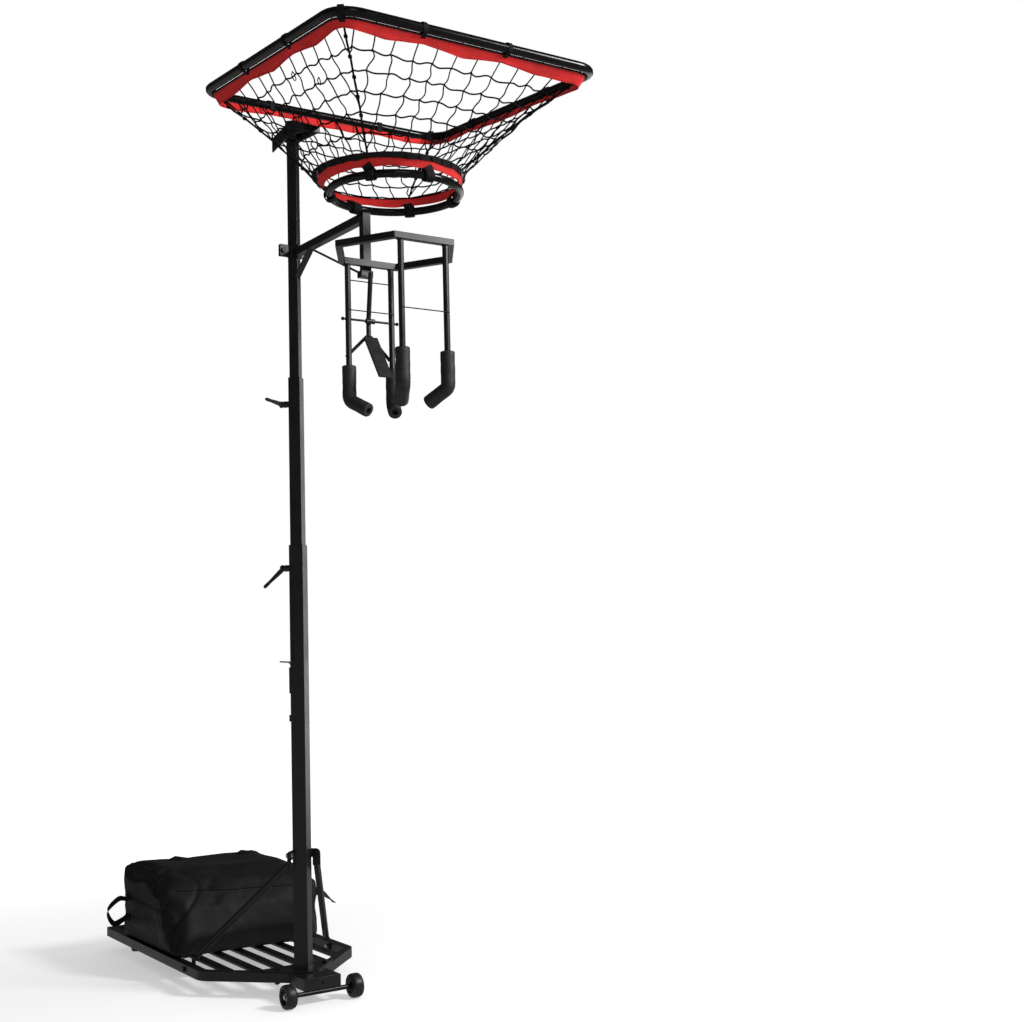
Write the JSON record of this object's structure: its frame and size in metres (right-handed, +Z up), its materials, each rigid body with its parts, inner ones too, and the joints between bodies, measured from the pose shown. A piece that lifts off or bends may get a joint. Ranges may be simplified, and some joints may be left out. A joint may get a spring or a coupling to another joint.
{
  "type": "volleyball spike trainer",
  "caption": "Wheeled volleyball spike trainer with a telescoping mast, a pronged ball holder with a release lever, and a funnel net on a tilting square rim.",
  "frame": {"origin": "on the floor, under the middle of the whole part's length and width", "axes": "+Z up along the mast, +Y towards the weighted rear of the base, -Y towards the wheels, ball holder and net, +X to the right"},
  "size_m": [0.74, 1.928, 2.447],
  "materials": {
    "black_paint": "satin black powder coat",
    "black_zinc": "black zinc plated",
    "zinc": "bright zinc plated",
    "catch_steel": "zinc plated strip",
    "black_plastic": "moulded, fine texture",
    "tyre": "moulded rubber",
    "foot_rubber": "moulded rubber",
    "foam": "matt closed-cell foam",
    "red_fabric": "woven coated fabric",
    "black_cord": "twisted net cord",
    "bag_fabric": "woven polyester"
  },
  "bodies": {
    "base": {"base_frame": "black_paint", "foot_plate": "black_paint", "front_crossbeam": "black_paint", "foot_bolt_left": "black_zinc", "foot_bolt_right": "black_zinc", "axle": "black_zinc", "wheel_bolt_left": "zinc", "wheel_bolt_right": "zinc", "rear_foot_left": "foot_rubber", "rear_foot_right": "foot_rubber", "brace_left": "black_paint", "brace_right": "black_paint", "brace_top_bolt_left": "zinc", "brace_top_bolt_right": "zinc", "brace_rail_bolt_left": "zinc", "brace_rail_bolt_right": "zinc", "mast_lower": "black_paint", "catch_pin": "zinc"},
    "wheel_left": {"wheel_left": "tyre"},
    "wheel_right": {"wheel_right": "tyre"},
    "bag": {"load_bag": "bag_fabric", "bag_handle_left": "bag_fabric", "bag_strap_right": "bag_fabric"},
    "middle": {"mast_middle": "black_paint", "middle_glide": "black_plastic"},
    "clamp_lower": {"clamp_lever_lower": "black_plastic"},
    "clamp_upper": {"clamp_lever_upper": "black_plastic"},
    "catch": {"catch_leaf": "catch_steel", "catch_grip": "black_plastic"},
    "head": {"mast_upper": "black_paint", "upper_glide": "black_plastic", "head_clamp_front": "black_paint", "head_clamp_rear": "black_paint", "clamp_bolt_left": "black_zinc", "clamp_bolt_right": "black_zinc", "head_arm": "black_paint", "arm_brace": "black_paint", "stay_rod": "black_paint", "head_post": "black_paint", "ring": "black_paint", "hex_frame": "black_paint", "finger_pair_back": "black_paint", "finger_pair_front": "black_paint", "grip_back_left": "foam", "grip_back_right": "foam", "grip_front_left": "foam", "grip_front_right": "foam", "pivot_rod": "black_zinc", "lower_band": "red_fabric", "tilt_pivot_bolt": "black_zinc"},
    "release": {"release_lever": "black_paint", "release_paddle": "black_plastic"},
    "funnel": {"tilt_beam": "black_paint", "tilt_lock_bolt": "black_zinc", "rim": "black_paint", "top_band": "red_fabric", "net_back": "black_cord", "net_front": "black_cord", "net_left": "black_cord", "net_right": "black_cord"}
  },
  "joints": [
    {"name": "wheel_left_spin", "type": "hinge", "parent": "base", "child": "wheel_left", "pos_m": [-0.098, -0.088, 0.032], "axis": [1, 0, 0], "continuous": true},
    {"name": "wheel_right_spin", "type": "hinge", "parent": "base", "child": "wheel_right", "pos_m": [0.098, -0.088, 0.032], "axis": [1, 0, 0], "continuous": true},
    {"name": "bag_lift", "type": "slide", "parent": "base", "child": "bag", "axis": [0, 0, 1], "range_m": [0, 0.4]},
    {"name": "middle_slide", "type": "slide", "parent": "base", "child": "middle", "axis": [0, 0, 1], "range_m": [-0.34, 0.38]},
    {"name": "upper_slide", "type": "slide", "parent": "middle", "child": "head", "axis": [0, 0, 1], "range_m": [-0.26, 0.29]},
    {"name": "lower_clamp_turn", "type": "hinge", "parent": "base", "child": "clamp_lower", "pos_m": [-0.01414, 0.03814, 1.167], "axis": [-0.7071, 0.7071, 0], "range_deg": [0, 180]},
    {"name": "upper_clamp_turn", "type": "hinge", "parent": "middle", "child": "clamp_upper", "pos_m": [-0.01202, 0.03602, 1.63], "axis": [-0.7071, 0.7071, 0], "range_deg": [0, 180]},
    {"name": "catch_swing", "type": "hinge", "parent": "base", "child": "catch", "pos_m": [-0.01662, 0.04062, 0.751], "axis": [-0.7071, -0.7071, 0], "range_deg": [0, 8], "stiffness_Nm_per_rad": 0.5},
    {"name": "release_swing", "type": "hinge", "parent": "head", "child": "release", "pos_m": [0, -0.41955, 1.781], "axis": [1, 0, 0], "range_deg": [0, 12]},
    {"name": "rim_tilt", "type": "hinge", "parent": "head", "child": "funnel", "pos_m": [0, 0.024, 2.412], "axis": [-1, 0, 0], "range_deg": [0, 8]}
  ]
}
